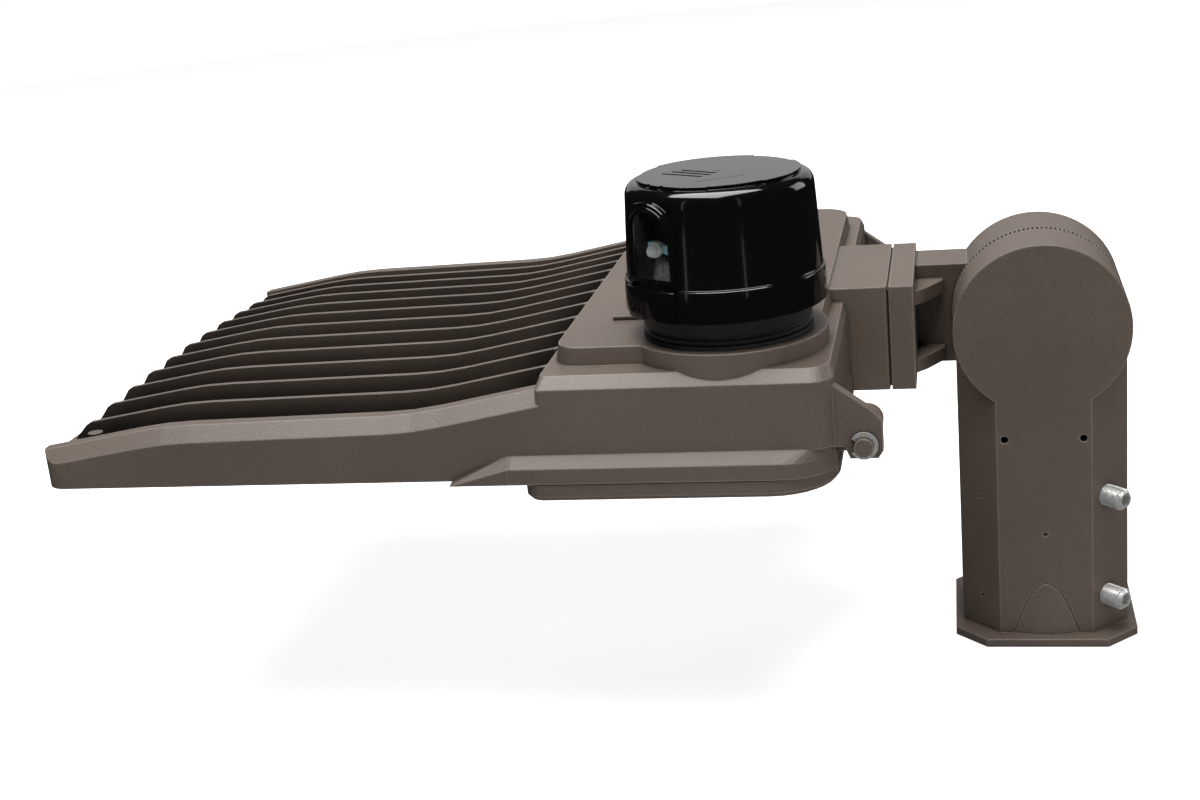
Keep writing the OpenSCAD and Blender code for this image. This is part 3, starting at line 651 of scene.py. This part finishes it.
def buildCapRibs(values):
    ribs = []
    width, height = values["ribWidth"], values["drumTop"] + values["discRise"] - values["sunk"]
    turned = Matrix.Rotation(math.radians(values["ribTurn"]), 4, "Z")
    for x0, y0, x1, y1 in values["ribs"]:
        along = Vector((x1 - x0, y1 - y0))
        flat = [(0, 0), (along.length, 0), (along.length, width), (0, width)]
        way = turned @ Matrix.Translation((x0 * mm, y0 * mm, height * mm))
        way = way @ Matrix.Rotation(math.atan2(along.y, along.x), 4, "Z")
        ribs.append(raisedShape(flat, values["sunk"] + values["ribHeight"], values["fineRim"], 2, way))
    return ribs


def buildCap(values):
    shell = buildCapShell(values)
    arch = archPoints(values["archRadius"], values["archLow"], values["archHigh"])
    window = drumFrame(arch, values["frameProfile"], values["frameDrum"])
    spec = values["panel"]
    half, low, up = spec["half"], spec["low"], spec["up"]
    flat = raisedShape([(-half, low), (half, low), (half, up), (-half, up)], spec["sunk"] + spec["rise"],
                       spec["rim"])
    panel = wrapOnDrum(flat, values["skirtRadius"] - spec["sunk"])
    disc = buildCapDisc(values)
    details = meshObject("capDetails", joinShapes([window, panel, *buildCapRibs(values)]))
    whole = bmesh.new()
    for part in (shell, disc, details):
        whole.from_mesh(part.data)
        bpy.data.objects.remove(part)
    bmesh.ops.transform(whole, matrix=cellPlace, verts=whole.verts)
    piece = meshObject("photocellCap", whole, values["smoothAngle"])
    finishPiece(piece, "glossBlackPlastic", "photocell", "gloss_black", "photocell_cap")


# smoked pane that fills the arch a little behind its frame
def buildPane(values):
    spec = values["pane"]
    outline = archPoints(spec["archRadius"], values["archLow"] + spec["ease"], values["archHigh"])
    pane = wrapOnDrum(raisedShape(outline, spec["thick"], spec["rim"], 2), spec["drum"])
    bmesh.ops.transform(pane, matrix=cellPlace, verts=pane.verts)
    piece = meshObject("archedPane", pane, spec["smoothAngle"])
    finishPiece(piece, "smokedWindow", "photocell", "smoked_window", "photocell_window")


# domed light sensor on a narrow strip of board, held up behind the window by a post
sensor = {"strip": (11.0, 3.0, 1.2), "stripRim": 0.15, "middle": 38.4, "start": 32.3, "aside": -1.8,
          "post": 3.4, "postFoot": 18.2, "postGap": 0.05, "postRim": 0.2,
          "lensRadius": 2.5, "lensGap": 0.1, "domeStart": 1.6, "domeHeight": 2.25, "lensSteps": 32,
          "lensFoot": ((2.85, 1.5), (2.85, 0.6), (2.5, 0.5), (2.5, 0), (0, 0)), "smoothAngle": 40}


def buildSensor(values):
    width, height, thick = values["strip"]
    at = cellPlace @ Matrix.Translation((values["start"] * mm, values["aside"] * mm, 0)) @ standUp
    low, high = values["middle"] - height / 2, values["middle"] + height / 2
    reach, half = width / 2, values["post"] / 2
    outline = [(-reach, low), (reach, low), (reach, high), (-reach, high)]
    strip = meshObject("sensorStrip", raisedShape(outline, thick, values["stripRim"], 2, at))
    finishPiece(strip, "sensorBoard", "photocell", "green_board")
    foot, head = values["postFoot"], low - values["postGap"]
    outline = [(-half, foot), (half, foot), (half, head), (-half, head)]
    post = meshObject("sensorPost", raisedShape(outline, thick, values["postRim"], 2, at))
    finishPiece(post, "mattBlackPlastic", "photocell", "black_plastic")
    base = thick + values["lensGap"]
    profile = []
    for degrees in range(0, 91, 10):
        angle = math.radians(degrees)
        profile.append((max(0, values["lensRadius"] * math.sin(angle)),
                        base + values["domeStart"] + values["domeHeight"] * math.cos(angle)))
    profile += [(r, base + z) for r, z in values["lensFoot"]]
    place = at @ Matrix.Translation((0, values["middle"] * mm, 0))
    lens = meshObject("sensorLens", turnedShape(profile, values["lensSteps"], place=place), values["smoothAngle"])
    finishPiece(lens, "whiteMoulding", "photocell", "white_plastic", "light_sensor")


buildCap(cap)
buildPane(cap)
buildSensor(sensor)
print("photocell made")

# plain raised arrow on the plateau beside the photocell
arrow = {"outline": ((-178, -84), (-150, -84), (-150, -78), (-166, -76), (-170, -68), (-171, -57),
                     (-176, -56), (-175, -70), (-178, -79)),
         "base": 172.2, "sunk": 0.3, "rise": 1.9, "rim": 0.35}


def buildArrow(values):
    place = Matrix.Translation((0, 0, values["base"] * mm))
    mark = raisedShape(values["outline"], values["rise"] + values["sunk"], values["rim"], 2, place)
    finishPiece(meshObject("plainArrow", mark), "bronzePowder", "head", "bronze_powder")


buildArrow(arrow)


# a merged copy of a CAD node, in place, ready to be cut
def nodeCopy(name, node):
    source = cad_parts[node]
    bm = bmesh.new()
    bm.from_mesh(source.data)
    bmesh.ops.transform(bm, matrix=source.matrix_world, verts=bm.verts)
    bmesh.ops.remove_doubles(bm, verts=bm.verts, dist=weld / 2)
    piece = meshObject(name, bm)
    kept = piece.data.attributes.get("custom_normal")
    if kept:
        piece.data.attributes.remove(kept)
    return piece


# the grooves of both knuckle faces open as small square notches at the rim
knuckle = {"count": 120, "wide": 1.05, "deep": 1.9, "from": 34.5, "to": 39.5, "face": 0.15, "past": 0.1,
           "pivotHeight": 147.0, "smoothAngle": 12,
           "pieces": (("slipFitter", "slip_fitter_body", "mount", -1), ("kneeArm", "knuckle_arm", "head", 1))}
# the foot of the tube's cone shows as a fine arched line on the near flat
footLine = {"flat": 34.0, "flare": 3.4, "height": 28.0, "wide": 0.45, "deep": 0.5, "steps": 12,
            "lowest": 3.9, "lean": 0.55, "leanStart": 0.01, "reach": 4}


def rimNotches(values, side):
    near, far = sorted((side * (values["face"] + values["deep"]), -side * (values["face"] + values["past"])))
    low, high = values["from"], values["to"]
    outline = [(low, near), (high, near), (high, far), (low, far)]
    pivot = Matrix.Translation((0, 0, values["pivotHeight"] * mm))
    aside = Matrix.Translation((0, 0, -values["wide"] / 2 * mm))
    turns = [Matrix.Rotation(i * 2 * math.pi / values["count"], 4, "Y") for i in range(values["count"])]
    return [raisedShape(outline, values["wide"], place=pivot @ turn @ aside) for turn in turns]


def footGroove(values):
    flat, height, steps = values["flat"], values["height"], values["steps"]
    lines = []
    for reach in (values["wide"] / 2, -values["wide"] / 2):
        line = []
        for i in range(-steps, steps + 1):
            z = height * (1 - (i / steps) ** 2)
            radius = flat + values["flare"] * (1 - z / height)
            x = math.copysign(math.sqrt(max(0, radius ** 2 - flat ** 2)), i)
            away = Vector((x, z * values["lean"] + values["leanStart"])).normalized() * reach
            line.append((x + away.x, max(values["lowest"], z) + away.y))
        lines.append(line)
    upright = Matrix.Translation((0, -(flat - values["deep"]) * mm, 0)) @ Matrix.Rotation(math.pi / 2, 4, "X")
    return raisedShape([*lines[0], *reversed(lines[1])], values["deep"] + values["reach"], place=upright)


def buildKnuckle(values):
    for name, node, body, side in values["pieces"]:
        piece = nodeCopy(name, node)
        cutAway(piece, joinShapes(rimNotches(values, side)))
        if body == "mount":
            cutAway(piece, footGroove(footLine))
        piece.data.shade_smooth()
        piece.data.set_sharp_from_angle(angle=math.radians(values["smoothAngle"]))
        finishPiece(piece, "bronzePowder", body, "bronze_powder", node)


buildKnuckle(knuckle)
print("knuckle notched")

for node, finish in nodeFinish.items():
    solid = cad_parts[node]
    solid.data.materials.clear()
    solid.data.materials.append(made[finish])
print("finishes applied")
